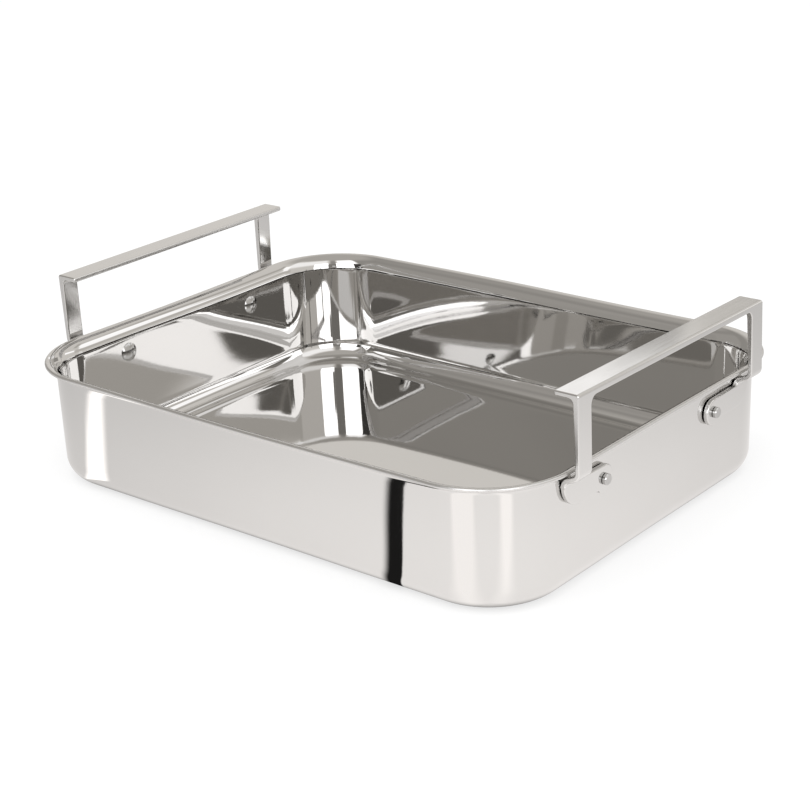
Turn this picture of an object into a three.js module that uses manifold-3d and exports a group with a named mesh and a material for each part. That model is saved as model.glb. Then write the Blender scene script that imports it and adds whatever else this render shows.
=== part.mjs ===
// Stainless steel roasting pan with two riveted strap handles. Millimetres, +Z up.
// The origin is the middle of the base, on the surface that the pan stands on.
// +X runs along the long side, towards the right handle. The two ends are alike.

import * as THREE from 'three';
import { mergeVertices } from 'three/addons/utils/BufferGeometryUtils.js';
import Module from 'manifold-3d';

const wasm = await Module();
wasm.setup();

// Pan body: one sheet, deep drawn, with a turned-out pouring rim
const RIM_LENGTH = 350; // outermost edge of the brim, along X
const RIM_WIDTH = 270; // outermost edge of the brim, along Y
const RIM_HEIGHT = 70; // top of the brim above the base
const RIM_CORNER = 49; // plan radius of the brim's outermost edge
const SHEET = 2.4; // thickness of the drawn sheet
const WALL_DRAFT = 0.6; // degrees that the walls lean outwards
const BASE_BEND = 10.5; // inside radius between floor and wall
const FLARE_BEND = 9.4; // radius of the turned-out rim, inside the pan
const FLARE_UNDER = 3; // radius in the corner under the rim, where the sheet is drawn thinner
const BRIM = 6.4; // from the line of the wall to the middle of the brim's round edge
const BRIM_RISE = 20; // degrees that the brim climbs above the horizontal

// Handles: one strap each, bent over at the grip, where it is thickest, and stepped under the brim
const STRAP = 2.8; // thickness of the grip, the step and the feet
const LEG_TOP = 3.8; // thickness of a leg where it meets the grip
const HANDLE_RISE = 38.3; // top of the grip above the brim
const HANDLE_LENGTH = 174; // along Y, over both legs
const LEG_REACH = 5.4; // from the brim's edge to the outer face of the legs
const LEG_WIDTH = 11; // along Y
const GRIP_WIDTH = 14.2; // along X, from the outer face of the legs inwards
const GRIP_CORNER = 1; // plan radius of the grip's inner corners
const GRIP_BEND = 2.5; // inside radius between grip and legs
const GRIP_ROUND = 1.5; // outside radius between grip and legs
const WINDOW_DROP = 3.7; // from the top of the grip to the window below it
const WINDOW_CORNER = 4.5; // radius where a leg meets the grip
const BRIM_GAP = 1.5; // between the brim's round edge and the step below it
const JOGGLE_RISE = 24; // degrees that the step climbs above the horizontal
const JOGGLE_BEND = 2.5; // inside radius of the two bends of the step
const FOOT_CORNER = 12.5; // radius of a foot's outer lower corner
const FOOT_NOTCH = 2.5; // radius where a leg meets the upper edge of its foot

// Rivets: one in each foot, domed head inside the pan, plain button outside
const RIVET_INSET = 34.5; // from the end of the handle to a rivet's axis
const LOBE = 7.5; // radius of the foot round its rivet
const LOBE_DIP = 2.5; // how far the lobe reaches below the foot's lower edge
const SHANK = 4.2; // diameter
const HEAD = 11; // diameter of the domed head
const HEAD_EDGE = 0.5; // upright edge of the head
const HEAD_DOME = 1.9; // height of the dome above that edge
const BUTTON = 6; // diameter of the outer end
const BUTTON_RISE = 1.9; // height of the outer end
const BUTTON_CHAMFER = 0.5; // broken edge of the outer end

// Clearances
const SEAT_GAP = 0.3; // between faces that lie on each other
const SHANK_GAP = 0.3; // round a rivet's shank

// How finely round shapes are cut into facets
const CORNER_STEPS = 14; // a quarter turn of the pan's plan
const BEND_STEPS = 6; // one bend of a sheet
const NEAREST = 0.05; // places of a line that lie closer than this count as one
const EDGE_STEPS = 4; // the round edge of the brim
const ARC_STEPS = 6; // half the steps of one arc of the handle's outline
const DOME_STEPS = 5; // from the edge of a rivet's head to its top
const ROUND_STEPS = 24; // a full turn of a rivet

const PAN_STEEL = { color: 0xcbc8c2, roughness: 0.12, metalness: 1 };
const STRAP_STEEL = { color: 0xc6c3bd, roughness: 0.2, metalness: 1 };
const RIVET_STEEL = { color: 0xb9b6b0, roughness: 0.25, metalness: 1 };

const rad = THREE.MathUtils.degToRad;
const heading = (degrees) => new THREE.Vector2(Math.cos(rad(degrees)), Math.sin(rad(degrees)));
const along = (start, direction, distance) => start.clone().addScaledVector(direction, distance);
const leftOf = (direction) => new THREE.Vector2(-direction.y, direction.x);

// A line of straights with its corners rounded to the radii given for them. A straight that its
// bends use up whole adds no place of its own.
function roundedLine(corners, radii) {
  const straights = corners.slice(1).map((corner, i) => corner.clone().sub(corners[i]).normalize());
  const places = [corners[0]];
  radii.forEach((size, i) => {
    const before = straights[i];
    const after = straights[i + 1];
    const turn = Math.atan2(before.cross(after), before.dot(after));
    const radius = size * Math.sign(turn);
    const start = along(corners[i + 1], before, -radius * Math.tan(turn / 2));
    const centre = along(start, leftOf(before), radius);
    for (let step = 0; step <= BEND_STEPS; step++) {
      const left = leftOf(before).rotateAround(new THREE.Vector2(), (turn * step) / BEND_STEPS);
      places.push(along(centre, left, -radius));
    }
  });
  places.push(corners.at(-1));
  return places.filter((place, i) => i === 0 || place.distanceTo(places[i - 1]) > NEAREST);
}

// The corners of one face of a bent sheet, a distance to the left of its centre line.
function faceCorners(corners, distance) {
  const lefts = corners.slice(1).map((corner, i) => leftOf(corner.clone().sub(corners[i]).normalize()));
  return corners.map((corner, i) => {
    const before = lefts[Math.max(i - 1, 0)];
    const after = lefts[Math.min(i, lefts.length - 1)];
    return along(corner, before.clone().add(after), distance / (1 + before.dot(after)));
  });
}

// How far a bend's straights are cut back from their corner, on the centre line of the sheet.
const cutBack = (bend, thickness, turn) => (bend + thickness / 2) * Math.tan(rad(turn) / 2);

// The pan's section: outwards from the brim's edge, negative inside the rim, and upwards.
const wallUp = heading(90 - WALL_DRAFT);
const brimOut = heading(BRIM_RISE);
const brimEnd = new THREE.Vector2(-SHEET / 2, RIM_HEIGHT - SHEET / 2);
const flareCorner = along(brimEnd, brimOut, -BRIM);
const wallAt = (height) => along(flareCorner, wallUp, (height - flareCorner.y) / wallUp.y);
const baseCorner = wallAt(SHEET / 2);
const floorEdge = along(baseCorner, heading(180), cutBack(BASE_BEND, SHEET, 90 - WALL_DRAFT));
const panCorners = [floorEdge, baseCorner, flareCorner, brimEnd];

// The round edge of the brim, between its lower and its upper face.
function brimEdge() {
  const steps = Array.from({ length: EDGE_STEPS - 1 }, (_, i) => i + 1);
  return steps.map((step) => along(brimEnd, heading(BRIM_RISE - 90 + (180 * step) / EDGE_STEPS), SHEET / 2));
}

// One turn round the pan at a place of its section: a rounded rectangle, counter-clockwise.
function planRing({ x: outwards, y: height }) {
  const centreX = RIM_LENGTH / 2 - RIM_CORNER;
  const centreY = RIM_WIDTH / 2 - RIM_CORNER;
  const corners = [[centreX, centreY], [-centreX, centreY], [-centreX, -centreY], [centreX, -centreY]];
  return corners.flatMap(([x, y], quarter) =>
    Array.from({ length: CORNER_STEPS + 1 }, (_, step) => {
      const spoke = heading(90 * (quarter + step / CORNER_STEPS)).multiplyScalar(RIM_CORNER + outwards);
      return new THREE.Vector3(x + spoke.x, y + spoke.y, height);
    }),
  );
}

// A closed skin through rings of equal length, with a flat cap on the first and on the last.
function loftRings(rings) {
  const count = rings[0].length;
  const faces = [];
  for (let low = 0; low < (rings.length - 1) * count; low += count) {
    const high = low + count;
    for (let i = 0; i < count; i++) {
      const next = (i + 1) % count;
      faces.push(low + i, low + next, high + next, low + i, high + next, high + i);
    }
  }
  const last = (rings.length - 1) * count;
  for (let i = 1; i < count - 1; i++) {
    faces.push(0, i + 1, i);
    faces.push(last, last + i, last + i + 1);
  }
  const geometry = new THREE.BufferGeometry();
  const positions = rings.flat().flatMap((point) => point.toArray());
  geometry.setAttribute('position', new THREE.Float32BufferAttribute(positions, 3));
  geometry.setIndex(faces);
  return geometry;
}

// The drawn shell: up the outside, round the brim's edge and down the inside.
function panShell() {
  const outside = roundedLine(faceCorners(panCorners, -SHEET / 2), [BASE_BEND + SHEET, FLARE_UNDER]);
  const inside = roundedLine(faceCorners(panCorners, SHEET / 2), [BASE_BEND, FLARE_BEND]);
  return loftRings([...outside, ...brimEdge(), ...inside.reverse()].map(planRing));
}

// Closed solids for joining and cutting, and back
function solidOf(geometry) {
  const bare = geometry.clone();
  bare.deleteAttribute('normal');
  bare.deleteAttribute('uv');
  const merged = mergeVertices(bare);
  const vertProperties = new Float32Array(merged.attributes.position.array);
  const triVerts = new Uint32Array(merged.index.array);
  return new wasm.Manifold(new wasm.Mesh({ numProp: 3, vertProperties, triVerts }));
}

function geometryOf(solid) {
  const { vertProperties, triVerts } = solid.getMesh();
  const geometry = new THREE.BufferGeometry();
  geometry.setAttribute('position', new THREE.BufferAttribute(new Float32Array(vertProperties), 3));
  geometry.setIndex(new THREE.BufferAttribute(new Uint32Array(triVerts), 1));
  geometry.computeVertexNormals();
  return geometry;
}

// The handle's section at the right end, in X and Z: foot on the wall, step, leg, grip. The step
// lies just under the brim's edge, and the foot's upper edge is where the first bend starts.
const wallOut = heading(-WALL_DRAFT);
const endWall = (height) => wallAt(height).add(new THREE.Vector2(RIM_LENGTH / 2, 0));
const footMiddle = SHEET / 2 + SEAT_GAP + STRAP / 2; // from the middle of the wall's sheet
const footAt = (height) => along(endWall(height), wallOut, footMiddle);
const stepOut = heading(JOGGLE_RISE);
const endBrim = brimEnd.clone().add(new THREE.Vector2(RIM_LENGTH / 2, 0));
const stepMiddle = along(endBrim, leftOf(stepOut), -(SHEET / 2 + BRIM_GAP + STRAP / 2));

// Where the step's centre line meets the foot's and the leg's.
const footBase = footAt(0);
const toFoot = stepMiddle.clone().sub(footBase).cross(stepOut) / wallUp.cross(stepOut);
const stepFoot = along(footBase, wallUp, toFoot);
const legOuterX = RIM_LENGTH / 2 + LEG_REACH;
const legMiddleX = legOuterX - STRAP / 2;
const stepLeg = along(stepMiddle, stepOut, (legMiddleX - stepMiddle.x) / stepOut.x);

const gripTop = RIM_HEIGHT + HANDLE_RISE;
const gripOuter = new THREE.Vector2(legMiddleX, gripTop - STRAP / 2);
const gripInner = new THREE.Vector2(legOuterX - GRIP_WIDTH, gripTop - STRAP / 2);
const footCut = cutBack(JOGGLE_BEND, STRAP, 90 - WALL_DRAFT - JOGGLE_RISE);
const footTop = along(stepFoot, wallUp, -footCut).y;
const rivetHeight = footTop - LOBE;
const footEnd = footAt(rivetHeight - 2 * LOBE);

// The section's two faces. The inner face leans away from the outer one up the leg, to the grip.
function strapFaces() {
  const corners = [footEnd, stepFoot, stepLeg, gripOuter, gripInner];
  const outer = faceCorners(corners, -STRAP / 2);
  const inner = faceCorners(corners, STRAP / 2);
  inner[corners.indexOf(gripOuter)].x = legOuterX - LEG_TOP;
  return [
    roundedLine(outer, [JOGGLE_BEND, JOGGLE_BEND + STRAP, GRIP_ROUND]),
    roundedLine(inner, [JOGGLE_BEND + STRAP, JOGGLE_BEND, GRIP_BEND]),
  ];
}

// The bent bar before blanking: the section carried along the whole handle.
function bentStrap() {
  const [outer, inner] = strapFaces();
  const outline = new THREE.Shape([...outer, ...inner.reverse()]);
  const bar = new THREE.ExtrudeGeometry(outline, {
    depth: HANDLE_LENGTH,
    bevelEnabled: false,
  });
  return bar.rotateX(Math.PI / 2).translate(0, HANDLE_LENGTH / 2, 0);
}

// What blanking leaves, seen from the end of the pan: the grip, two legs and two feet. Each foot
// runs inwards to a round lobe at its rivet, and the lobe's dip leaves a small notch below.
function blankOutline() {
  const outer = HANDLE_LENGTH / 2;
  const inner = outer - LEG_WIDTH;
  const rivet = outer - RIVET_INSET;
  const footBottom = rivetHeight - LOBE + LOBE_DIP;
  const windowTop = gripTop - WINDOW_DROP;
  const dip = Math.asin((LOBE - LOBE_DIP) / LOBE);
  const quarter = Math.PI / 2;
  const half = new THREE.Path();
  half.moveTo(0, windowTop);
  half.absarc(inner - WINDOW_CORNER, windowTop - WINDOW_CORNER, WINDOW_CORNER, quarter, 0, true);
  half.absarc(inner - FOOT_NOTCH, footTop + FOOT_NOTCH, FOOT_NOTCH, 0, -quarter, true);
  half.absarc(rivet, rivetHeight, LOBE, quarter, 4 * quarter - dip, false);
  half.absarc(outer - FOOT_CORNER, footBottom + FOOT_CORNER, FOOT_CORNER, -quarter, 0, false);
  half.lineTo(outer, gripTop + STRAP);
  const back = half.getPoints(ARC_STEPS);
  const front = back.slice(1).map(({ x, y }) => new THREE.Vector2(-x, y));
  return new THREE.Shape([...back, ...front.reverse()]);
}

// The blank's outline carried through the whole depth of the handle, along X.
function blank() {
  const depth = 2 * GRIP_WIDTH;
  const prism = new THREE.ExtrudeGeometry(blankOutline(), { depth, bevelEnabled: false });
  const axes = [[0, 1, 0], [0, 0, 1], [1, 0, 0]].map((axis) => new THREE.Vector3(...axis));
  prism.applyMatrix4(new THREE.Matrix4().makeBasis(...axes));
  return prism.translate(legOuterX + GRIP_WIDTH / 2 - depth, 0, 0);
}

// The handle seen from above, with the grip's inner corners rounded.
function gripPlan() {
  const inner = legOuterX - GRIP_WIDTH;
  const side = HANDLE_LENGTH / 2 + STRAP;
  const end = HANDLE_LENGTH / 2;
  const plan = new THREE.Shape();
  plan.moveTo(legOuterX + STRAP, side);
  plan.lineTo(inner + GRIP_CORNER, side);
  plan.lineTo(inner + GRIP_CORNER, end);
  plan.absarc(inner + GRIP_CORNER, end - GRIP_CORNER, GRIP_CORNER, Math.PI / 2, Math.PI, false);
  plan.absarc(inner + GRIP_CORNER, GRIP_CORNER - end, GRIP_CORNER, Math.PI, 1.5 * Math.PI, false);
  plan.lineTo(inner + GRIP_CORNER, -side);
  plan.lineTo(legOuterX + STRAP, -side);
  const depth = gripTop + STRAP;
  return new THREE.ExtrudeGeometry(plan, { depth, bevelEnabled: false, curveSegments: ARC_STEPS });
}

// Turns a shape that stands on the Y axis to a rivet's axis: square to the right end wall, from
// the middle of the wall's sheet outwards. The side is 1 for the back rivet and -1 for the front.
function atRivet(geometry, side) {
  const seat = endWall(rivetHeight);
  const y = side * (HANDLE_LENGTH / 2 - RIVET_INSET);
  return geometry.rotateZ(-Math.PI / 2).rotateY(rad(WALL_DRAFT)).translate(seat.x, y, seat.y);
}

function rivetHole(side) {
  const radius = SHANK / 2 + SHANK_GAP;
  const length = 4 * (SHEET + STRAP);
  return atRivet(new THREE.CylinderGeometry(radius, radius, length, ROUND_STEPS), side);
}

// A rivet, from the top of its dome inside the pan to its flat outer end.
function rivet(side) {
  const headSeat = -SHEET / 2 - SEAT_GAP;
  const buttonSeat = footMiddle + STRAP / 2 + SEAT_GAP;
  const end = buttonSeat + BUTTON_RISE;
  const domeRadius = ((HEAD / 2) ** 2 + HEAD_DOME ** 2) / (2 * HEAD_DOME);
  const domeTop = headSeat - HEAD_EDGE - HEAD_DOME;
  const domeTurn = Math.asin(HEAD / 2 / domeRadius);
  const dome = Array.from({ length: DOME_STEPS + 1 }, (_, step) => {
    const angle = (domeTurn * step) / DOME_STEPS;
    return new THREE.Vector2(domeRadius * Math.sin(angle), domeTop + domeRadius * (1 - Math.cos(angle)));
  });
  const profile = [
    ...dome,
    new THREE.Vector2(HEAD / 2, headSeat),
    new THREE.Vector2(SHANK / 2, headSeat),
    new THREE.Vector2(SHANK / 2, buttonSeat),
    new THREE.Vector2(BUTTON / 2, buttonSeat),
    new THREE.Vector2(BUTTON / 2, end - BUTTON_CHAMFER),
    new THREE.Vector2(BUTTON / 2 - BUTTON_CHAMFER, end),
    new THREE.Vector2(0, end),
  ];
  return atRivet(new THREE.LatheGeometry(profile, ROUND_STEPS), side);
}

function panBody() {
  const sides = [-1, 1];
  const holes = [0, Math.PI].flatMap((turn) => sides.map((side) => rivetHole(side).rotateZ(turn)));
  return geometryOf(holes.reduce((solid, hole) => solid.subtract(solidOf(hole)), solidOf(panShell())));
}

function handle() {
  const strap = solidOf(bentStrap()).intersect(solidOf(blank())).intersect(solidOf(gripPlan()));
  return geometryOf([-1, 1].reduce((solid, side) => solid.subtract(solidOf(rivetHole(side))), strap));
}

function named(name, geometry, finish) {
  const mesh = new THREE.Mesh(geometry, new THREE.MeshStandardMaterial(finish));
  mesh.name = name;
  return mesh;
}

// One end's handle with its two rivets, turned about Z to its end of the pan.
function handleSet(end, turn) {
  const set = new THREE.Group();
  set.rotation.z = turn;
  set.add(named(`handle_${end}`, handle(), STRAP_STEEL));
  set.add(named(`rivet_${end}_a`, rivet(-1), RIVET_STEEL));
  set.add(named(`rivet_${end}_b`, rivet(1), RIVET_STEEL));
  return set;
}

const roastingPan = new THREE.Group();
roastingPan.add(named('pan_body', panBody(), PAN_STEEL));
roastingPan.add(handleSet('right', 0));
roastingPan.add(handleSet('left', Math.PI));

export default roastingPan;
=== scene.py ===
"""A roasting pan of polished steel with two riveted strap handles, on a white studio floor.

Metres, +Z up. The origin is the middle of the base, and +X runs along the pan to the right handle.
"""

import math

import bmesh
import bpy
from mathutils import Matrix, Vector


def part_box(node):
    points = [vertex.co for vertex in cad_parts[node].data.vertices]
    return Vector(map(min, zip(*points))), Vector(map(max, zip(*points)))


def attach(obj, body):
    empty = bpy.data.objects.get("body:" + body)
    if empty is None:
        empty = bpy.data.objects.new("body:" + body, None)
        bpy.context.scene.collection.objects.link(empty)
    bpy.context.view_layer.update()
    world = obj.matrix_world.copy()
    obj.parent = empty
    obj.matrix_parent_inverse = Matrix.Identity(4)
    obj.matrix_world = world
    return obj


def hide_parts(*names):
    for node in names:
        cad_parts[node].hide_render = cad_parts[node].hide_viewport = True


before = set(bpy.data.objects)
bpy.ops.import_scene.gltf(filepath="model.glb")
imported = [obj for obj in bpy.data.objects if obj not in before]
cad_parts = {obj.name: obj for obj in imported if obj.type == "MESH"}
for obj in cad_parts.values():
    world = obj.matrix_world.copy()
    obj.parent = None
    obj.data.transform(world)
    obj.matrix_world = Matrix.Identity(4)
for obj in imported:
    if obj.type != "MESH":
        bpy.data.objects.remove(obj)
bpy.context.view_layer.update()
BODY = "root"
MM = 0.001

# The pan: one drawn sheet. Its outer size comes from the frame.
PAN_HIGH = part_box("pan_body")[1]
RIM_CORNER = 49 * MM
SHEET = 2.4 * MM
WALL_DRAFT = 0.6
BASE_BEND = 10.5 * MM
FLARE_BEND = 9.4 * MM
FLARE_UNDER = 3 * MM
BRIM = 6.4 * MM
BRIM_RISE = 20

# The handles: one strap each. Their outer size comes from the frame.
STRAP_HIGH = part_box("handle_right")[1]
STRAP = 2.8 * MM
LEG_TOP = 3.8 * MM
LEG_WIDTH = 11 * MM
GRIP_WIDTH = 14.2 * MM
GRIP_CORNER = 1 * MM
GRIP_BEND = 2.5 * MM
GRIP_ROUND = 1.5 * MM
WINDOW_DROP = 3.7 * MM
WINDOW_CORNER = 4.5 * MM
BRIM_GAP = 1.5 * MM
JOGGLE_RISE = 24
JOGGLE_BEND = 2.5 * MM
FOOT_CORNER = 12.5 * MM
FOOT_NOTCH = 2.5 * MM
STRAP_EDGE = 0.8 * MM
FLAT_WITHIN = math.radians(0.2)

# The rivets: a domed head inside the pan and a plain button outside.
RIVET_INSET = 34.5 * MM
LOBE = 7.5 * MM
LOBE_DIP = 2.5 * MM
SHANK = 4.2 * MM
HEAD = 11 * MM
HEAD_EDGE = 0.5 * MM
HEAD_DOME = 1.9 * MM
BUTTON = 6 * MM
BUTTON_RISE = 1.9 * MM
BUTTON_CHAMFER = 0.5 * MM
SEAT_GAP = 0.3 * MM
SHANK_GAP = 0.3 * MM

# How finely the curves are cut
CORNER_STEPS = 48
LONG_SIDE_STEPS = 60
SHORT_SIDE_STEPS = 44
FLOOR_STEPS = 14
BASE_BEND_STEPS = 20
WALL_STEPS = 18
FLARE_STEPS = 18
BRIM_STEPS = 3
EDGE_STEPS = 12
STRAP_BEND_STEPS = 12
STRAP_ARC_STEPS = 14
ROUND_STEPS = 64
DOME_STEPS = 14
ROUNDING_STEPS = 3
NEAREST = 0.01 * MM

# How the edges catch the light: bends sharper than these, in degrees, stay crisp
SHEET_CRISP = 40
RIVET_CRISP = 35
ROUND_PROFILE = 0.5
LARGE_FACES_LEAD = 100


# Plane geometry
def heading(degrees):
    angle = math.radians(degrees)
    return Vector((math.cos(angle), math.sin(angle)))


def left_of(direction):
    return Vector((-direction.y, direction.x))


def cut_back(bend, thickness, turn):
    """How far a bend's straights are cut back from their corner, on the sheet's centre line."""
    return (bend + thickness / 2) * math.tan(math.radians(turn) / 2)


def rounded_line(corners, radii, bend_steps, straight_steps):
    """A line of straights with its corners rounded, cut into the given steps."""
    runs = [(b - a).normalized() for a, b in zip(corners, corners[1:])]
    places = [corners[0]]
    for i, size in enumerate(radii):
        before, after = runs[i], runs[i + 1]
        turn = math.atan2(before.cross(after), before.dot(after))
        radius = math.copysign(size, turn)
        start = corners[i + 1] - before * radius * math.tan(turn / 2)
        centre = start + left_of(before) * radius
        cuts = straight_steps[i]
        places += [places[-1].lerp(start, step / cuts) for step in range(1, cuts)]
        for step in range(bend_steps[i] + 1):
            left = Matrix.Rotation(turn * step / bend_steps[i], 2) @ left_of(before)
            places.append(centre - left * radius)
    last = straight_steps[-1]
    places += [places[-1].lerp(corners[-1], step / last) for step in range(1, last)] + [corners[-1]]
    return [p for i, p in enumerate(places) if i == 0 or (p - places[i - 1]).length > NEAREST]


def face_corners(corners, distance):
    """The corners of one face of a bent sheet, a distance to the left of its centre line."""
    lefts = [left_of((b - a).normalized()) for a, b in zip(corners, corners[1:])]
    moved = []
    for corner, before, after in zip(corners, lefts[:1] + lefts, lefts + lefts[-1:]):
        moved.append(corner + (before + after) * distance / (1 + before.dot(after)))
    return moved


def evened(points, steps):
    """A line cut into equal steps."""
    lengths = [0.0]
    for a, b in zip(points, points[1:]):
        lengths.append(lengths[-1] + (b - a).length)
    even = []
    for step in range(steps + 1):
        wanted = lengths[-1] * step / steps
        i = max(k for k in range(len(points) - 1) if lengths[k] <= wanted)
        even.append(points[i].lerp(points[i + 1], (wanted - lengths[i]) / (lengths[i + 1] - lengths[i])))
    return even


def split_at(points, height):
    """Cuts a line in two where it first climbs past a height."""
    i = next(k for k in range(len(points) - 1) if points[k + 1].y > height)
    low, high = points[i], points[i + 1]
    cut = low.lerp(high, (height - low.y) / (high.y - low.y))
    return points[: i + 1] + [cut], [cut] + points[i + 1 :]


# The pan's section: outwards from the brim's edge, negative inside the rim, and upwards.
WALL_UP = heading(90 - WALL_DRAFT)
BRIM_END = Vector((-SHEET / 2, PAN_HIGH.z - SHEET / 2))
FLARE_CORNER = BRIM_END - heading(BRIM_RISE) * BRIM


def wall_at(height):
    return FLARE_CORNER + WALL_UP * (height - FLARE_CORNER.y) / WALL_UP.y


BASE_CORNER = wall_at(SHEET / 2)
FLOOR_EDGE = BASE_CORNER - Vector((cut_back(BASE_BEND, SHEET, 90 - WALL_DRAFT), 0))


# The right handle's section, in X and Z: foot on the wall, step under the brim, leg, grip.
def end_wall(height):
    return wall_at(height) + Vector((PAN_HIGH.x, 0))


FOOT_MIDDLE = SHEET / 2 + SEAT_GAP + STRAP / 2
STEP_OUT = heading(JOGGLE_RISE)
STEP_MIDDLE = BRIM_END + Vector((PAN_HIGH.x, 0)) - left_of(STEP_OUT) * (SHEET / 2 + BRIM_GAP + STRAP / 2)
FOOT_BASE = end_wall(0) + heading(-WALL_DRAFT) * FOOT_MIDDLE
STEP_FOOT = FOOT_BASE + WALL_UP * (STEP_MIDDLE - FOOT_BASE).cross(STEP_OUT) / WALL_UP.cross(STEP_OUT)
LEG_MIDDLE_X = STRAP_HIGH.x - STRAP / 2
STEP_LEG = STEP_MIDDLE + STEP_OUT * (LEG_MIDDLE_X - STEP_MIDDLE.x) / STEP_OUT.x
GRIP_MIDDLE_Z = STRAP_HIGH.z - STRAP / 2
GRIP_OUTER = Vector((LEG_MIDDLE_X, GRIP_MIDDLE_Z))
GRIP_INNER = Vector((STRAP_HIGH.x - GRIP_WIDTH, GRIP_MIDDLE_Z))
FOOT_TOP = STEP_FOOT - WALL_UP * cut_back(JOGGLE_BEND, STRAP, 90 - WALL_DRAFT - JOGGLE_RISE)
RIVET_HEIGHT = FOOT_TOP.y - LOBE
RIVET_Y = STRAP_HIGH.y - RIVET_INSET


# Meshes
def mesh_object(name, vertices, faces):
    mesh = bpy.data.meshes.new(name)
    mesh.from_pydata(vertices, [], faces)
    mesh.update()
    piece = bpy.data.objects.new(name, mesh)
    bpy.context.scene.collection.objects.link(piece)
    return piece


def settle(piece):
    """Applies a piece's modifiers to its mesh."""
    bpy.context.view_layer.update()
    finished = piece.evaluated_get(bpy.context.evaluated_depsgraph_get())
    mesh = bpy.data.meshes.new_from_object(finished)
    piece.modifiers.clear()
    piece.data = mesh
    return piece


def give_finish(piece, main, other=None, others=()):
    """Gives a piece its finish, and some of its faces another one."""
    piece.data.materials.append(main)
    if other:
        piece.data.materials.append(other)
    for i in others:
        piece.data.polygons[i].material_index = 1


def discard(piece):
    bpy.data.objects.remove(piece)


def loft(rings):
    """Vertices and faces of a skin through closed rings of equal length."""
    count = len(rings[0])
    vertices = [point for ring in rings for point in ring]
    faces = []
    for low in range(0, (len(rings) - 1) * count, count):
        for i in range(count):
            after = (i + 1) % count
            faces.append((low + i, low + after, low + count + after, low + count + i))
    return vertices, faces


def fan(centre, ring_start, count, upwards):
    """Faces from a middle vertex to a ring."""
    pairs = [(ring_start + i, ring_start + (i + 1) % count) for i in range(count)]
    return [(centre, a, b) if upwards else (centre, b, a) for a, b in pairs]


# The drawn pan
WALL_BOWS = (
    # a wall's axis and side, then how far it has sprung outwards in its middle, in millimetres:
    # at the rim, half way up and at the foot, as an S from foot to rim, and as a wave along the wall;
    # then how far it is lopsided, at the rim and half way up
    (0, 1, -0.5, 0, 0, 0, 0.1, 0, 0),
    (0, -1, -1.2, -0.3, 0.8, 0, 0, 0.3, -0.6),
    (1, 1, 1.2, -0.2, -0.8, 0, 0, -1, -0.1),
    (1, -1, 2.2, 0.8, 0, 0.1, 0.1, 0, 0),
)
FLOOR_CROWN = 1.5 * MM
FLOOR_LOPSIDED = Vector((0, 0.1)) * MM


def wall_spring(along, height, rim, middle, foot, ess, wave, rim_skew, middle_skew):
    """How far a wall has sprung outwards, from end to end along it and from foot to rim."""
    turn = along * math.pi
    swell = math.cos(turn / 2) ** 2
    lopsided = math.sin(turn) * math.cos(turn / 2)
    ripple = math.sin(2 * abs(turn)) * math.cos(turn / 2)
    belly = math.sin(height * math.pi)
    upright = rim * height + middle * belly + foot * (1 - height) + ess * math.sin(2 * height * math.pi)
    return upright * swell + wave * belly * ripple + (rim_skew * height + middle_skew * belly) * lopsided


def sprung(point):
    """Where a point of the drawn sheet ends up after the sheet has sprung back in the press."""
    moved = Vector(point)
    height = min(max((point.z - BASE_BEND) / (PAN_HIGH.z - BASE_BEND), 0), 1)
    for axis, side, *springs in WALL_BOWS:
        across = 1 - axis
        if point[axis] * side > PAN_HIGH[axis] - RIM_CORNER:
            along = point[across] / (PAN_HIGH[across] - RIM_CORNER / 2)
            moved[axis] += side * MM * wall_spring(min(max(along, -1), 1), height, *springs)
    x, y = point.x / PAN_HIGH.x, point.y / PAN_HIGH.y
    crown = FLOOR_CROWN + FLOOR_LOPSIDED.x * x + FLOOR_LOPSIDED.y * y
    moved.z += crown * max(1 - x * x - y * y, 0) * (1 - height)
    return moved


def plan_ring(outwards, height):
    """One turn round the pan at a place of its section: a rounded rectangle, counter-clockwise."""
    middle_x = PAN_HIGH.x - RIM_CORNER
    middle_y = PAN_HIGH.y - RIM_CORNER
    corners = ((middle_x, middle_y), (-middle_x, middle_y), (-middle_x, -middle_y), (middle_x, -middle_y))
    steps = (LONG_SIDE_STEPS, SHORT_SIDE_STEPS, LONG_SIDE_STEPS, SHORT_SIDE_STEPS)
    ring = []
    for quarter, (x, y) in enumerate(corners):
        for step in range(CORNER_STEPS + 1):
            spoke = heading(90 * (quarter + step / CORNER_STEPS)) * (RIM_CORNER + outwards)
            ring.append(Vector((x + spoke.x, y + spoke.y, height)))
        ring_end = ring[-1]
        next_x, next_y = corners[(quarter + 1) % 4]
        spoke = heading(90 * (quarter + 1)) * (RIM_CORNER + outwards)
        side_end = Vector((next_x + spoke.x, next_y + spoke.y, height))
        ring += [ring_end.lerp(side_end, step / steps[quarter]) for step in range(1, steps[quarter])]
    return ring


def floor_rings(edge, height, inwards):
    """Rings of the flat floor, from near the middle out to its edge, or the other way."""
    outline = plan_ring(edge, height)
    middle = Vector((0, 0, height))
    shares = [step / FLOOR_STEPS for step in range(1, FLOOR_STEPS)]
    rings = [[middle.lerp(point, share) for point in outline] for share in shares]
    return rings[::-1] if inwards else rings


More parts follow.
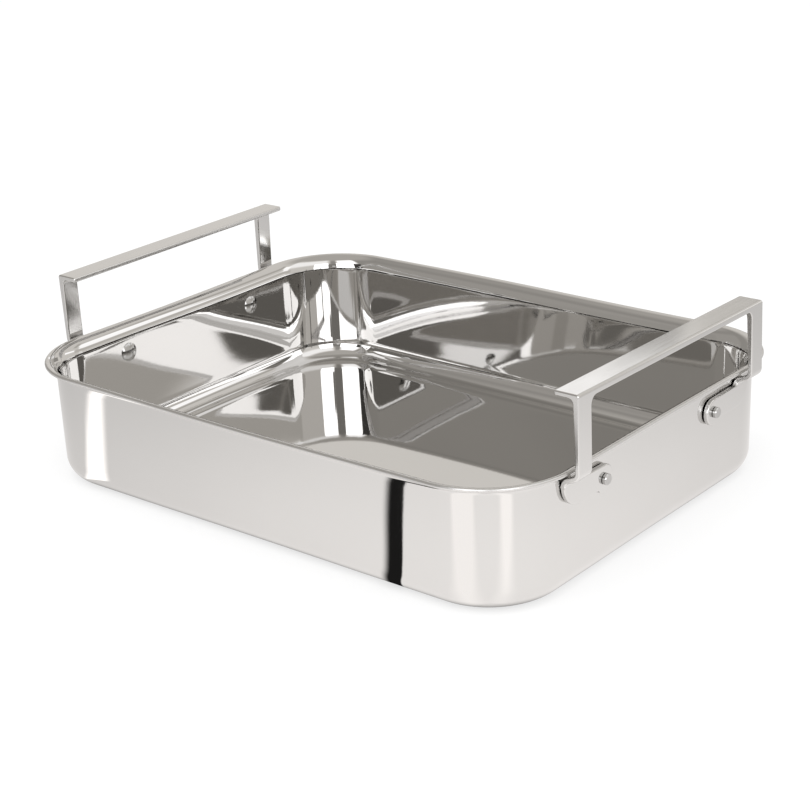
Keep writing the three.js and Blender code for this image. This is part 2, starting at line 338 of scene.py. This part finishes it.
def pan_shell():
    """The whole sheet: under the floor, up the outside, round the brim's edge and down the inside."""
    corners = [FLOOR_EDGE, BASE_CORNER, FLARE_CORNER, BRIM_END]
    cuts = [BASE_BEND_STEPS, FLARE_STEPS], [1, WALL_STEPS, BRIM_STEPS]
    outside = rounded_line(face_corners(corners, -SHEET / 2), [BASE_BEND + SHEET, FLARE_UNDER], *cuts)
    inside = rounded_line(face_corners(corners, SHEET / 2), [BASE_BEND, FLARE_BEND], *cuts)
    turns = [BRIM_RISE - 90 + 180 * step / EDGE_STEPS for step in range(1, EDGE_STEPS)]
    edge = [BRIM_END + heading(turn) * SHEET / 2 for turn in turns]
    profile = outside + edge + inside[::-1]
    rings = floor_rings(FLOOR_EDGE.x, 0, inwards=False)
    rings += [plan_ring(*place) for place in profile]
    rings += floor_rings(FLOOR_EDGE.x, SHEET, inwards=True)
    vertices, faces = loft(rings)
    count = len(rings[0])
    under, over = len(vertices), len(vertices) + 1
    faces += fan(under, 0, count, upwards=False)
    faces += fan(over, (len(rings) - 1) * count, count, upwards=True)
    vertices += [Vector((0, 0, 0)), Vector((0, 0, SHEET))]
    piece = mesh_object("pan", [sprung(point) for point in vertices], faces)
    trimmed = (FLOOR_STEPS + len(outside) - 2) * count
    give_finish(piece, pan_steel, ground_steel, range(trimmed, trimmed + EDGE_STEPS * count))
    return piece


# Rivets, turned about the axis that runs square out of the right end wall
def rivet_place(side, turn):
    seat = end_wall(RIVET_HEIGHT)
    axis = heading(-WALL_DRAFT)
    outwards = Vector((axis.x, 0, axis.y))
    across = Vector((0, 1, 0))
    upwards = outwards.cross(across)
    place = Matrix((outwards, across, upwards)).transposed().to_4x4()
    place.translation = Vector((seat.x, side * RIVET_Y, seat.y))
    return Matrix.Rotation(turn, 4, "Z") @ place


def turned_piece(name, profile, place):
    """A closed solid of revolution. The profile runs from axis to axis, as (along, radius)."""
    rings = []
    for along, radius in profile[1:-1]:
        spokes = [heading(360 * step / ROUND_STEPS) * radius for step in range(ROUND_STEPS)]
        rings.append([place @ Vector((along, spoke.x, spoke.y)) for spoke in spokes])
    vertices, faces = loft(rings)
    first, last = len(vertices), len(vertices) + 1
    faces += fan(first, 0, ROUND_STEPS, upwards=False)
    faces += fan(last, (len(rings) - 1) * ROUND_STEPS, ROUND_STEPS, upwards=True)
    vertices += [place @ Vector((profile[0][0], 0, 0)), place @ Vector((profile[-1][0], 0, 0))]
    piece = mesh_object(name, vertices, faces)
    piece.data.shade_smooth()
    piece.data.set_sharp_from_angle(angle=math.radians(RIVET_CRISP))
    return piece


def rivet(name, side, turn):
    head_seat = -SHEET / 2 - SEAT_GAP
    button_seat = FOOT_MIDDLE + STRAP / 2 + SEAT_GAP
    end = button_seat + BUTTON_RISE
    dome_radius = ((HEAD / 2) ** 2 + HEAD_DOME**2) / (2 * HEAD_DOME)
    dome_top = head_seat - HEAD_EDGE - HEAD_DOME
    dome_turn = math.asin(HEAD / 2 / dome_radius)
    profile = []
    for step in range(DOME_STEPS + 1):
        angle = dome_turn * step / DOME_STEPS
        profile.append((dome_top + dome_radius * (1 - math.cos(angle)), dome_radius * math.sin(angle)))
    profile += [
        (head_seat, HEAD / 2),
        (head_seat, SHANK / 2),
        (button_seat, SHANK / 2),
        (button_seat, BUTTON / 2),
        (end - BUTTON_CHAMFER, BUTTON / 2),
        (end, BUTTON / 2 - BUTTON_CHAMFER),
        (end, 0),
    ]
    return turned_piece(name, profile, rivet_place(side, turn))


def drill(piece, turns):
    """Cuts the rivet holes of the given ends out of a piece."""
    reach = 2 * (SHEET + STRAP)
    radius = SHANK / 2 + SHANK_GAP
    profile = [(-reach, 0), (-reach, radius), (reach, radius), (reach, 0)]
    places = [rivet_place(side, turn) for turn in turns for side in (-1, 1)]
    drills = [turned_piece("drill", profile, place) for place in places]
    for cutter in drills:
        cut = piece.modifiers.new("rivet hole", "BOOLEAN")
        cut.object = cutter
        cut.operation = "DIFFERENCE"
        cut.solver = "EXACT"
    settle(piece)
    for cutter in drills:
        discard(cutter)


# The strap handles
def arc(centre, radius, start, end):
    turns = [start + (end - start) * step / STRAP_ARC_STEPS for step in range(STRAP_ARC_STEPS + 1)]
    return [centre + heading(turn) * radius for turn in turns]


def strap_path():
    """Pairs of places on the strap's inner and outer face, from the foot's lower end to the grip's edge.

    Gives also their distances along the strap, and which pair lies at the top of the window.
    """
    foot_end = FOOT_BASE + WALL_UP * (RIVET_HEIGHT - 2 * LOBE - FOOT_BASE.y) / WALL_UP.y
    corners = [foot_end, STEP_FOOT, STEP_LEG, GRIP_OUTER, GRIP_INNER]
    outer_corners = face_corners(corners, -STRAP / 2)
    inner_corners = face_corners(corners, STRAP / 2)
    inner_corners[3].x = STRAP_HIGH.x - LEG_TOP
    outer_bends = [JOGGLE_BEND, JOGGLE_BEND + STRAP, GRIP_ROUND]
    inner_bends = [JOGGLE_BEND + STRAP, JOGGLE_BEND, GRIP_BEND]
    cuts = [STRAP_BEND_STEPS] * 3, [1, 1, 1, 1]
    outer = rounded_line(outer_corners, outer_bends, *cuts)
    inner = rounded_line(inner_corners, inner_bends, *cuts)
    window_top = STRAP_HIGH.z - WINDOW_DROP
    inner_low, inner_high = split_at(inner, window_top)
    outer_high = split_at(outer, window_top)[1]
    leg_start = 1 + 2 * (STRAP_BEND_STEPS + 1)
    pairs = list(zip(inner[:leg_start], outer[:leg_start]))
    pairs += [(place, Vector((STRAP_HIGH.x, place.y))) for place in inner_low[leg_start:]]
    window = len(pairs) - 1
    pairs += zip(evened(inner_high[:-1], len(outer_high) - 2)[1:], outer_high[1:-1])
    pairs.append((inner_high[-1], outer_high[-1]))
    distances = [0.0]
    for before, after in zip(pairs, pairs[1:]):
        distances.append(distances[-1] + (after[0] + after[1] - before[0] - before[1]).length / 2)
    return pairs, distances, window


def at_distance(pairs, distances, distance):
    """The places on the strap's inner and outer face at a distance along it."""
    for i in range(len(distances) - 1):
        if distance <= distances[i + 1] or i == len(distances) - 2:
            share = (distance - distances[i]) / (distances[i + 1] - distances[i])
            return [a.lerp(b, share) for a, b in zip(pairs[i], pairs[i + 1])]


def blank_outline(distances, window):
    """What blanking leaves of the flat strap, as (across, along): grip, two legs, two feet."""
    outer = STRAP_HIGH.y
    inner = outer - LEG_WIDTH
    foot_top = distances[1]
    rivet_middle = foot_top - LOBE
    foot_bottom = rivet_middle - LOBE + LOBE_DIP
    grip_end = distances[-1]
    window_top = distances[window]
    dip = math.degrees(math.asin((LOBE - LOBE_DIP) / LOBE))
    half = []
    half += arc(Vector((inner - WINDOW_CORNER, window_top - WINDOW_CORNER)), WINDOW_CORNER, 90, 0)
    half += arc(Vector((inner - FOOT_NOTCH, foot_top + FOOT_NOTCH)), FOOT_NOTCH, 0, -90)
    half += arc(Vector((RIVET_Y, rivet_middle)), LOBE, 90, 360 - dip)
    half += arc(Vector((outer - FOOT_CORNER, foot_bottom + FOOT_CORNER)), FOOT_CORNER, -90, 0)
    half += arc(Vector((outer - GRIP_CORNER, grip_end - GRIP_CORNER)), GRIP_CORNER, 0, 90)
    other = [Vector((-point.x, point.y)) for point in half]
    return half + other[::-1]


def strap_blank(name):
    """The flat blank, cut across wherever the strap bends, then bent and given its thickness."""
    pairs, distances, window = strap_path()
    flat = bmesh.new()
    flat.faces.new([flat.verts.new((point.x, point.y, 0)) for point in blank_outline(distances, window)])
    for distance in distances[1:-1]:
        everything = flat.verts[:] + flat.edges[:] + flat.faces[:]
        bmesh.ops.bisect_plane(flat, geom=everything, plane_co=(0, distance, 0), plane_no=(0, 1, 0))
    flat.verts.index_update()
    count = len(flat.verts)
    vertices = []
    for face in (1, 0):
        for vertex in flat.verts:
            place = at_distance(pairs, distances, vertex.co.y)[face]
            vertices.append(Vector((place.x, vertex.co.x, place.y)))
    faces = []
    for face in flat.faces:
        corners = [vertex.index for vertex in face.verts]
        faces.append(corners[::-1])
        faces.append([count + i for i in corners])
    ground = len(faces)
    for edge in flat.edges:
        if edge.is_boundary:
            loop = edge.link_loops[0]
            a, b = loop.vert.index, loop.link_loop_next.vert.index
            faces.append((a, b, count + b, count + a))
    flat.free()
    piece = mesh_object(name, vertices, faces)
    give_finish(piece, strap_steel, ground_steel, range(ground, len(faces)))
    return piece


HANDLE_LEANS = {
    # how far the grip stands off its drawn place, in millimetres: along X, along X at the +Y end
    # and back at the other, upwards, upwards at the +Y end and down at the other;
    # then the twist of the leg at the -Y end, in degrees
    "right": (-0.5, -0.3, -0.3, -1.1, 0),
    "left": (-0.8, 0.65, 0, 0.75, -1.4),
}
TWIST_WITHIN = 0.25


def leaned(point, along_x, end_x, upwards, end_up, twist):
    """Where a point of a strap ends up after the strap was bent by hand: above the brim it leans."""
    height = min(max((point.z - STEP_LEG.y) / (STRAP_HIGH.z - STEP_LEG.y), 0), 1)
    end = point.y / STRAP_HIGH.y
    from_leg = min(point.y + STRAP_HIGH.y - LEG_WIDTH / 2, LEG_WIDTH / 2)
    turned = math.tan(math.radians(twist)) * from_leg * min(height / TWIST_WITHIN, 1)
    lean = Vector((along_x + end_x * end, 0, upwards + end_up * end)) * MM * height
    return point + lean + Vector((turned, 0, 0))


def strap_handle(name, turn, lean):
    piece = strap_blank(name)
    shape = bmesh.new()
    shape.from_mesh(piece.data)
    bmesh.ops.recalc_face_normals(shape, faces=shape.faces[:])
    bmesh.ops.dissolve_limit(
        shape, angle_limit=FLAT_WITHIN, verts=shape.verts[:], edges=shape.edges[:], delimit={"MATERIAL"}
    )
    rims = [edge for edge in shape.edges if len({face.material_index for face in edge.link_faces}) > 1]
    bmesh.ops.bevel(
        shape,
        geom=rims,
        offset=STRAP_EDGE,
        offset_type="OFFSET",
        segments=ROUNDING_STEPS,
        profile=ROUND_PROFILE,
        affect="EDGES",
        clamp_overlap=False,
        material=0,
    )
    shape.to_mesh(piece.data)
    shape.free()
    drill(piece, [0])
    piece.data.transform(Matrix.Rotation(turn, 4, "Z"))
    for vertex in piece.data.vertices:
        vertex.co = leaned(vertex.co, *lean)
    piece.data.shade_smooth()
    piece.data.set_sharp_from_angle(angle=math.radians(SHEET_CRISP))
    soften = piece.modifiers.new("flat faces stay flat", "WEIGHTED_NORMAL")
    soften.keep_sharp = True
    soften.weight = LARGE_FACES_LEAD
    return settle(piece)


# Shader maths
class Socket:
    """A shader socket that can be used in sums."""

    def __init__(self, sheet, socket):
        self.sheet = sheet
        self.socket = socket

    def maths(self, operation, *values):
        return self.sheet.node("Math", {"operation": operation}, *values)[0]

    def __add__(self, other):
        return self.maths("ADD", self, other)

    def __radd__(self, other):
        return self.maths("ADD", other, self)

    def __sub__(self, other):
        return self.maths("SUBTRACT", self, other)

    def __rsub__(self, other):
        return self.maths("SUBTRACT", other, self)

    def __mul__(self, other):
        return self.maths("MULTIPLY", self, other)

    def __rmul__(self, other):
        return self.maths("MULTIPLY", other, self)


class Sheet:
    """A node tree that is written as expressions."""

    def __init__(self, tree):
        self.tree = tree
        tree.nodes.clear()

    def node(self, kind, settings=None, *values, **named):
        """Adds a node, sets its settings, then its sockets by order or by name. Gives its outputs."""
        made = self.tree.nodes.new("ShaderNode" + kind)
        for key, value in (settings or {}).items():
            setattr(made, key, value)
        sockets = list(zip(made.inputs, values))
        sockets += [(made.inputs[key.replace("_", " ")], value) for key, value in named.items()]
        for socket, value in sockets:
            if isinstance(value, Socket):
                self.tree.links.new(value.socket, socket)
            elif value is not None:
                socket.default_value = value
        return [Socket(self, output) for output in made.outputs]

    def colour(self, share, first, second):
        """One colour passing into another. A Mix node's colours are its seventh and eighth sockets."""
        unused = [None] * 5
        return self.node("Mix", {"data_type": "RGBA"}, share, *unused, (*first, 1), (*second, 1))[2]


def material(name):
    made = bpy.data.materials.new(name)
    made.use_nodes = True
    return made, Sheet(made.node_tree)


# Which outputs of a node are meant
GENERATED, OBJECT_PLACE = 0, 3
CAMERA_RAY, GLOSSY_RAY, TRANSMISSION_RAY = 0, 3, 6

# The steel's polish: fine lines, and patches per metre
LINE_NOISE = {"Scale": 1.0, "Detail": 4.0, "Roughness": 0.6}
PATCH_NOISE = {"Scale": 14.0, "Detail": 3.0, "Roughness": 0.55}
LINE_SHARE = 0.5
POLISH_RANGE = (0.3, 0.7)


def steel(name, light, dark, smooth, rough, lines, depth):
    """Polished steel: fine lines from the polishing wheel, and patches where the polish is duller."""
    made, sheet = material(name)
    place = sheet.node("TexCoord")[OBJECT_PLACE]
    along = sheet.node("Mapping", {"vector_type": "POINT"}, place, Scale=lines)[0]
    scratch = sheet.node("TexNoise", None, Vector=along, **LINE_NOISE)[0]
    patches = sheet.node("TexNoise", None, Vector=place, **PATCH_NOISE)[0]
    tint = sheet.colour(patches, dark, light)
    polish = patches * (1 - LINE_SHARE) + scratch * LINE_SHARE
    dullness = sheet.node("MapRange", None, polish, *POLISH_RANGE, smooth, rough)[0]
    relief = sheet.node("Bump", None, Strength=1.0, Distance=depth, Height=scratch)[0]
    shader = sheet.node(
        "BsdfPrincipled",
        None,
        Base_Color=tint,
        Metallic=1.0,
        Roughness=dullness,
        Normal=relief,
    )[0]
    sheet.node("OutputMaterial", None, shader)
    return made


def dress(piece, slot, *nodes):
    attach(piece, BODY)
    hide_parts(*nodes)


# The studio: what the polished steel sees round the pan, by heading and height above the floor in degrees
DARK_SIDE = 0.36
LIGHT_SIDE = 0.80
LIGHT_SIDE_HEADINGS = (-25, 155)
SIDE_BLEND = 24
CEILING = 0.54
CEILING_HEIGHTS = (48, 66)
STUDIO_PANELS = (
    # headings from and to, heights from and to, soft edge, brightness
    (-179, -118, -5, 42, 10, 0.42),
    (30, 58, 11, 24.5, 4, 0.64),
    (41.5, 48, 1, 11.5, 2, 1.0),
    (58, 67, 33, 47, 3, 0.55),
    (104, 124, 8, 16.3, 0.5, 0.33),
    (104, 117.5, 8, 18, 0.5, 0.33),
    (119.9, 126.5, 18.8, 21.8, 0.5, 1.35),
    (120.7, 122.9, 16.3, 18.7, 0.4, 0.31),
    (112, 119.9, 18.4, 30, 0.4, 0.40),
    (60, 84, 18.2, 24, 1.5, 1.5),
    (-45, 45, 34, 62, 14, 1.3),
    (38, 51, 24.5, 34, 4, 1.45),
    (38, 54.5, 33, 45, 3, 1.5),
    (-100, -62, 30, 58, 10, 1.9),
    (-127, -91, -5, 31, 5, 0.40),
    (-106, -91, -5, 31, 3, 0.07),
    (-91, -59, -5, 38, 1, 2.8),
    (-59, -44.2, -5, 31, 0.6, 0.28),
    (-44.2, -17.8, -5, 38, 1, 2.8),
    (-44.4, -41.2, 18.7, 21.6, 0.6, 0.28),
    (-57, -51.6, 13.7, 16, 0.6, 2.1),
)
WARM_DARK = (1.046, 1.0, 0.935)
COOL_LIGHT = (1.0, 1.0, 1.012)
COOL_FROM, COOL_TO = 0.45, 1.7
WHITE = (1, 1, 1)
BACKDROP = 1.0
SOFT_LIGHT = 1.05
LAMP_PLACE = Vector((0.3, -0.6, 1.6))
LAMP_TARGET = Vector((0, 0, 0))
LAMP_SIZE = 1.4
LAMP_POWER = 12

# The white floor. Seen in the mirrored steel, its glow holds a painted pool of light, brightest at the
# pan's near corner, and painted reflections: dark and bright stripes painted on it
FLOOR_REACH = 8.0
FLOOR_DEPTH = 0.02 * MM
FLOOR_WHITE = 0.95
FLOOR_GLOW = 0.7
FLOOR_MIRRORED = 0.85
FLOOR_TINT = (1.03, 1.0, 0.982)
# A painted pool of light in the floor's glow, seen only in the mirrored steel: its middle, its reach, and
# the glow near it and far from it
HOT_SPOT = Vector((163, -128, 0)) * MM
HOT_SPOT_REACH = 550 * MM
FLOOR_NEAR, FLOOR_FAR = 1.14, 0.66
# A painted shadow in the floor's glow below the pan's bend, seen only in the mirrored steel: the share of
# glow kept at the base, and from and to how far out it fades
UNDER_BEND = 0.15
UNDER_BEND_REACHES = (2 * MM, 12 * MM)
# Painted reflections, seen only in the mirrored steel: a dark stripe and three bright ones, painted into
# the floor's glow
PAINTED_STRIPES = (
    # a place on the middle line, its heading, half the width, how fast that grows along the heading,
    # soft edges to its right and left, how much it curls towards the pan's foot, per metre,
    # and its brightness
    (Vector((55.4, -183.7)) * MM, 234.2, 4.5 * MM, 0, 5 * MM, 1 * MM, 12, 0.015),
    (Vector((-185, -184.2)) * MM, 219.9, 4.8 * MM, -0.015, 4 * MM, 4 * MM, 24, 1.7),
    (Vector((143, -205)) * MM, -88, 27 * MM, 0.26, 16 * MM, 16 * MM, 0, 1.31),
    (Vector((227, -157)) * MM, -29.4, 14 * MM, 0.15, 18 * MM, 18 * MM, 0, 1.37),
)
STRIPE_START, STRIPE_END = 85 * MM, 85 * MM
STRIPE_CURL_FROM = -148 * MM


def smooth_step(sheet, value, low, high):
    """0 below the low value, 1 above the high one, smooth between."""
    return sheet.node("MapRange", {"interpolation_type": "SMOOTHSTEP"}, value, low, high, 0.0, 1.0)[0]


def between(sheet, value, low, high, soft):
    return smooth_step(sheet, value, low - soft / 2, low + soft / 2) * (
        1 - smooth_step(sheet, value, high - soft / 2, high + soft / 2)
    )


def seen_directly(sheet):
    """1 for rays from the camera, and 1 for rays that come off metal or through glass."""
    path = sheet.node("LightPath")
    mirrored = path[GLOSSY_RAY].maths("MAXIMUM", path[GLOSSY_RAY], path[TRANSMISSION_RAY])
    return path[CAMERA_RAY], mirrored


def stripe(sheet, place, middle, towards, half, growth, soft_right, soft_left, curl):
    """Where a painted reflection stripe lies on the floor, seen only in the mirrored steel. Near the pan
    it curls to the left along X.
    """
    ahead, left = heading(towards), left_of(heading(towards))
    x, y = sheet.node("SeparateXYZ", None, place)[:2]
    near = y.maths("MAXIMUM", y - STRIPE_CURL_FROM, 0.0)
    x = x + near * near * curl - middle.x
    y = y - middle.y
    across = x * left.x + y * left.y
    length = x * ahead.x + y * ahead.y
    half = half + length * growth
    right_side = smooth_step(sheet, across + half, -soft_right / 2, soft_right / 2)
    left_side = 1 - smooth_step(sheet, across - half, -soft_left / 2, soft_left / 2)
    return right_side * left_side * between(sheet, length, -STRIPE_START, STRIPE_END, MM)


def painted_shadow_under_bend(sheet, place):
    """A painted shadow on the floor below the pan's bend, seen only in the mirrored steel: how much of
    the floor's glow is kept, from its flat base outwards.
    """
    reaches = []
    for socket, half in zip(sheet.node("SeparateXYZ", None, place), PAN_HIGH.xy):
        past = socket.maths("ABSOLUTE", socket) - (half - RIM_CORNER)
        reaches.append(past.maths("MAXIMUM", past, 0.0))
    x, y = reaches
    spread = x * x + y * y
    away = spread.maths("SQRT", spread) - (RIM_CORNER + FLOOR_EDGE.x)
    return UNDER_BEND + smooth_step(sheet, away, *UNDER_BEND_REACHES) * (1 - UNDER_BEND)


def studio_floor():
    sides = ((-1, -1), (1, -1), (1, 1), (-1, 1))
    corners = [(x * FLOOR_REACH, y * FLOOR_REACH, -FLOOR_DEPTH) for x, y in sides]
    floor = mesh_object("studio_floor", corners, [(0, 1, 2, 3)])
    made, sheet = material("white floor")
    camera_ray, mirrored = seen_directly(sheet)
    place = sheet.node("NewGeometry")[0]
    away = sheet.node("VectorMath", {"operation": "DISTANCE"}, place, tuple(HOT_SPOT))[1]
    # The painted pool of light round the hot spot, which only mirrored rays see
    seen = FLOOR_NEAR + smooth_step(sheet, away, 0.0, HOT_SPOT_REACH) * (FLOOR_FAR - FLOOR_NEAR)
    mirrored_share = FLOOR_MIRRORED
    # Painted reflections: each stripe sets the glow that mirrored rays see
    for *line, brightness in PAINTED_STRIPES:
        mask = stripe(sheet, place, *line)
        seen = seen + mask * (brightness - seen)
        mirrored_share = mirrored_share + mask * (1 - FLOOR_MIRRORED)
    # Mirrored rays see the painted glow, darkened by the painted shadow under the bend
    strength = camera_ray + mirrored * seen * painted_shadow_under_bend(sheet, place)
    painted = sheet.node("BsdfDiffuse", None, Color=(FLOOR_WHITE, FLOOR_WHITE, FLOOR_WHITE, 1))[0]
    tint = sheet.colour(camera_ray, FLOOR_TINT, WHITE)
    glow = sheet.node("Emission", None, Color=tint, Strength=strength)[0]
    share = camera_ray * FLOOR_GLOW + mirrored * mirrored_share
    both = sheet.node("MixShader", None, share, painted, glow)[0]
    sheet.node("OutputMaterial", None, both)
    floor.data.materials.append(made)


def studio_world():
    world = bpy.data.worlds.new("white studio")
    bpy.context.scene.world = world
    world.use_nodes = True
    sheet = Sheet(world.node_tree)
    camera_ray, mirrored = seen_directly(sheet)
    x, y, z = sheet.node("SeparateXYZ", None, sheet.node("TexCoord")[GENERATED])
    turn = y.maths("ARCTAN2", y, x) * math.degrees(1)
    height = z.maths("ARCSINE", z) * math.degrees(1)
    seen = DARK_SIDE + between(sheet, turn, *LIGHT_SIDE_HEADINGS, SIDE_BLEND) * (LIGHT_SIDE - DARK_SIDE)
    seen = seen + smooth_step(sheet, height, *CEILING_HEIGHTS) * (CEILING - seen)
    for start, end, low, high, soft, brightness in STUDIO_PANELS:
        mask = between(sheet, turn, start, end, soft) * between(sheet, height, low, high, soft)
        seen = seen + mask * (brightness - seen)
    backdrop = sheet.node("Background", None, (*WHITE, 1), BACKDROP)[0]
    soft_light = sheet.node("Background", None, (*WHITE, 1), SOFT_LIGHT)[0]
    tint = sheet.colour(smooth_step(sheet, seen, COOL_FROM, COOL_TO), WARM_DARK, COOL_LIGHT)
    studio = sheet.node("Background", None, tint, seen)[0]
    lit = sheet.node("MixShader", None, mirrored, soft_light, studio)[0]
    both = sheet.node("MixShader", None, camera_ray, lit, backdrop)[0]
    sheet.node("OutputWorld", None, both)


def studio_lamp():
    lamp = bpy.data.lights.new("overhead", "AREA")
    lamp.shape = "SQUARE"
    lamp.size = LAMP_SIZE
    lamp.energy = LAMP_POWER
    made = bpy.data.objects.new("overhead", lamp)
    made.location = LAMP_PLACE
    made.rotation_euler = (LAMP_TARGET - LAMP_PLACE).to_track_quat("-Z", "Y").to_euler()
    made.visible_glossy = False
    bpy.context.scene.collection.objects.link(made)


# The camera, where the photograph was taken from
CAMERA_AZIMUTH = 39.932
CAMERA_ELEVATION = 21.347
CAMERA_ROLL = -2.470
CAMERA_DISTANCE = 1060.271 * MM
CAMERA_TARGET = Vector((2.088, 0.552, 37.397)) * MM
CAMERA_LENS = 83.26
CAMERA_SENSOR = 36
CAMERA_NEAREST, CAMERA_FURTHEST = 0.01, 100


def camera():
    azimuth, elevation = math.radians(CAMERA_AZIMUTH), math.radians(CAMERA_ELEVATION)
    level = math.cos(elevation)
    back = Vector((math.sin(azimuth) * level, -math.cos(azimuth) * level, math.sin(elevation)))
    right = Vector((0, 0, 1)).cross(back).normalized()
    upright = Matrix((right, back.cross(right), back)).transposed()
    lens = bpy.data.cameras.new("camera")
    lens.lens = CAMERA_LENS
    lens.sensor_width = CAMERA_SENSOR
    lens.clip_start = CAMERA_NEAREST
    lens.clip_end = CAMERA_FURTHEST
    made = bpy.data.objects.new("camera", lens)
    made.matrix_world = (upright @ Matrix.Rotation(math.radians(CAMERA_ROLL), 3, "Z")).to_4x4()
    made.location = CAMERA_TARGET + back * CAMERA_DISTANCE
    bpy.context.scene.collection.objects.link(made)
    bpy.context.scene.camera = made


# The pan and its handles
pan_steel = steel(
    "polished pan steel",
    light=(0.667, 0.660, 0.650),
    dark=(0.643, 0.636, 0.626),
    smooth=0.02,
    rough=0.04,
    lines=(900, 60, 900),
    depth=0.002 * MM,
)
strap_steel = steel(
    "polished strap steel",
    light=(0.674, 0.667, 0.657),
    dark=(0.639, 0.633, 0.623),
    smooth=0.07,
    rough=0.13,
    lines=(900, 40, 900),
    depth=0.004 * MM,
)
ground_steel = steel(
    "ground edge steel",
    light=(0.674, 0.667, 0.657),
    dark=(0.639, 0.633, 0.623),
    smooth=0.28,
    rough=0.36,
    lines=(300, 300, 300),
    depth=0.001 * MM,
)
rivet_steel = steel(
    "turned rivet steel",
    light=(0.512, 0.507, 0.499),
    dark=(0.452, 0.448, 0.441),
    smooth=0.08,
    rough=0.14,
    lines=(600, 600, 600),
    depth=0.003 * MM,
)

pan = pan_shell()
drill(pan, [0, math.pi])
pan.data.shade_smooth()
pan.data.set_sharp_from_angle(angle=math.radians(SHEET_CRISP))
dress(pan, "pan_steel", "pan_body")

for end, turn in (("right", 0), ("left", math.pi)):
    dress(strap_handle(f"strap_{end}", turn, HANDLE_LEANS[end]), "strap_steel", f"handle_{end}")
    for letter, side in (("a", -1), ("b", 1)):
        made = rivet(f"set_rivet_{end}_{letter}", side, turn)
        give_finish(made, rivet_steel)
        dress(made, "rivet_steel", f"rivet_{end}_{letter}")

studio_floor()
studio_world()
studio_lamp()
camera()

scene = bpy.context.scene
scene.view_settings.view_transform = "Standard"
